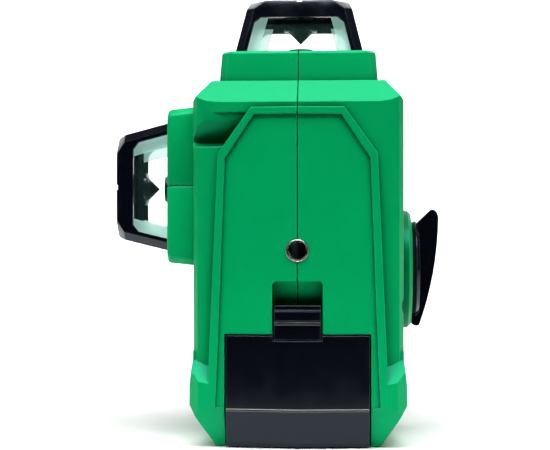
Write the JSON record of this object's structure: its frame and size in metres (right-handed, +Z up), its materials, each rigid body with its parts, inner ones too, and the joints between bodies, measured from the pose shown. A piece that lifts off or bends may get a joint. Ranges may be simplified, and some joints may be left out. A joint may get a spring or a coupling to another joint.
{
  "type": "laser level",
  "caption": "Self-levelling line laser level: green body, glazed cone-mirror heads on top, side and front, lock knob and slide-in battery.",
  "frame": {"origin": "middle of the whole part seen from above, on the plane of the base", "axes": "+Z up; -Y out of the rear face that holds the battery pack, the latch and the rear tripod thread; +X out of the face with the lock knob; the side head points along -X and the front head along +Y"},
  "size_m": [0.1062, 0.102, 0.1434],
  "materials": {
    "housing": "fine satin texture",
    "black": "glossy navy black",
    "rubber": "matt",
    "glass": "clear, faint mint tint",
    "mirror": "polished cone",
    "brass": "turned, nickel washed",
    "anodised": "black anodised aluminium",
    "steel": "ground",
    "zinc": "die cast zinc",
    "copper": "turned copper",
    "board": "solder mask",
    "panel": "printed film"
  },
  "bodies": {
    "housing": {"shell_left": "housing", "shell_right": "housing", "side_collar_upper": "housing", "side_collar_lower": "housing", "top_window_frame": "black", "side_window_frame": "black", "front_window_frame": "black", "top_pane_right": "glass", "top_pane_front": "glass", "top_pane_left": "glass", "top_pane_rear": "glass", "side_pane_upper": "glass", "side_pane_front": "glass", "side_pane_lower": "glass", "side_pane_rear": "glass", "front_pane_right": "glass", "front_pane_lower": "glass", "front_pane_left": "glass", "front_pane_upper": "glass", "gimbal_bracket": "zinc", "right_axle_pin": "steel", "left_axle_pin": "steel", "damping_magnet": "steel", "rear_thread_insert": "brass", "base_thread_insert": "brass", "keypad_overlay": "panel", "main_board": "board", "charging_jack": "panel", "shell_screw_1": "steel", "shell_screw_2": "steel", "shell_screw_3": "steel", "shell_screw_4": "steel"},
    "gimbal_ring": {"gimbal_ring": "zinc", "right_bearing": "steel", "left_bearing": "steel", "front_bearing": "steel", "rear_bearing": "steel"},
    "pendulum": {"pendulum_carrier": "zinc", "pendulum_weight": "zinc", "damping_disc": "copper", "front_axle_pin": "steel", "rear_axle_pin": "steel", "top_laser_barrel": "anodised", "top_glass_tube": "glass", "top_cone_mirror": "mirror", "side_laser_barrel": "anodised", "side_glass_tube": "glass", "side_cone_mirror": "mirror", "front_laser_barrel": "anodised", "front_glass_tube": "glass", "front_cone_mirror": "mirror"},
    "lock_knob": {"lock_knob": "black", "lock_shaft": "steel"},
    "lock_slider": {"lock_slider": "steel"},
    "battery_pack": {"battery_pack": "black"},
    "battery_latch": {"battery_latch": "black"},
    "horizontal_button": {"horizontal_button": "rubber"},
    "vertical_button": {"vertical_button": "rubber"},
    "pulse_button": {"pulse_button": "rubber"},
    "charging_port_cover": {"charging_port_cover": "rubber"}
  },
  "joints": [
    {"name": "gimbal_roll", "type": "hinge", "parent": "housing", "child": "gimbal_ring", "pos_m": [0.00705, -0.01375, 0.104], "axis": [1, 0, 0], "range_deg": [-4, 4]},
    {"name": "gimbal_pitch", "type": "hinge", "parent": "gimbal_ring", "child": "pendulum", "pos_m": [0.00705, -0.01375, 0.104], "axis": [0, 1, 0], "range_deg": [-4, 4]},
    {"name": "lock_knob_turn", "type": "hinge", "parent": "housing", "child": "lock_knob", "pos_m": [0.04405, -0.01375, 0.0554], "axis": [1, 0, 0], "range_deg": [0, 90]},
    {"name": "lock_slider_lift", "type": "slide", "parent": "housing", "child": "lock_slider", "axis": [0, 0, 1], "range_m": [0, 0.0016]},
    {"name": "battery_slide", "type": "slide", "parent": "housing", "child": "battery_pack", "axis": [0, -1, 0], "range_m": [0, 0.035]},
    {"name": "latch_flex", "type": "hinge", "parent": "battery_pack", "child": "battery_latch", "pos_m": [0.00705, -0.04835, 0.0338], "axis": [1, 0, 0], "range_deg": [-10, 0]},
    {"name": "horizontal_press", "type": "slide", "parent": "housing", "child": "horizontal_button", "axis": [0, -1, 0], "range_m": [0, 0.0007]},
    {"name": "vertical_press", "type": "slide", "parent": "housing", "child": "vertical_button", "axis": [0, -1, 0], "range_m": [0, 0.0007]},
    {"name": "pulse_press", "type": "slide", "parent": "housing", "child": "pulse_button", "axis": [0, -1, 0], "range_m": [0, 0.0007]},
    {"name": "port_cover_swing", "type": "hinge", "parent": "housing", "child": "charging_port_cover", "pos_m": [-0.02715, -0.00175, 0.0396], "axis": [0, 1, 0], "range_deg": [0, 110]}
  ],
  "couplings": [
    {"joint": "lock_slider_lift", "follows": "lock_knob_turn", "m_per_rad": 0.00095493}
  ]
}
